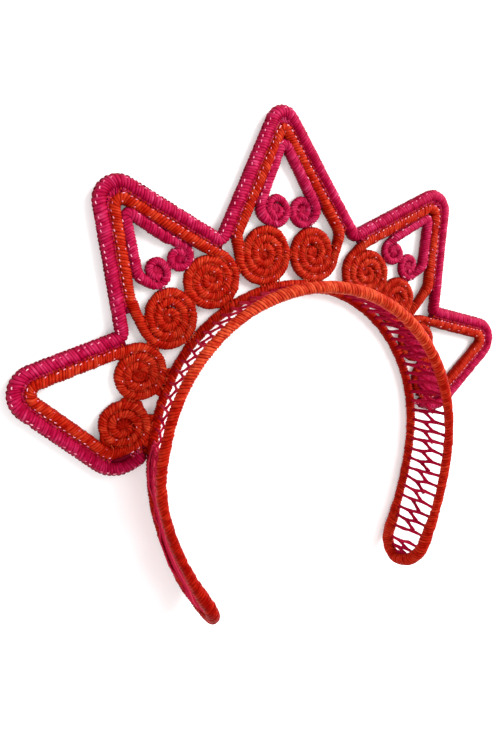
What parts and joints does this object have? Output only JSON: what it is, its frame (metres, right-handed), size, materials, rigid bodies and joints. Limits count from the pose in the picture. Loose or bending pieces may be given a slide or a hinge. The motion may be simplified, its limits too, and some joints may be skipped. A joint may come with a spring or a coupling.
{
  "type": "straw headband tiara",
  "caption": "Spiked headband tiara wound from straw-wrapped cords, with coiled spirals inside the spikes and an open net between the two edges of the band.",
  "frame": {"origin": "centre of the bounding box's bottom face, where the tiara lies on its back", "axes": "+X across the head from leg to leg, +Y along the middle spike, +Z from the band's far edge in the plane of the spikes to its near edge"},
  "size_m": [0.2418, 0.2128, 0.0276],
  "materials": {
    "orange_straw": "dyed straw wrapped round a cord, slightly glossy",
    "fuchsia_straw": "dyed straw wrapped round a cord, slightly glossy"
  },
  "bodies": {
    "root": {"band_rim": "orange_straw", "band_net": "fuchsia_straw", "zigzag_outer_cord": "fuchsia_straw", "scroll_cord_1": "orange_straw", "scroll_cord_2": "orange_straw", "scroll_cord_3": "orange_straw", "scroll_cord_4": "orange_straw", "scroll_cord_5": "orange_straw", "inner_scroll_cord_2": "fuchsia_straw", "inner_scroll_cord_3": "fuchsia_straw", "inner_scroll_cord_4": "fuchsia_straw"}
  },
  "joints": []
}
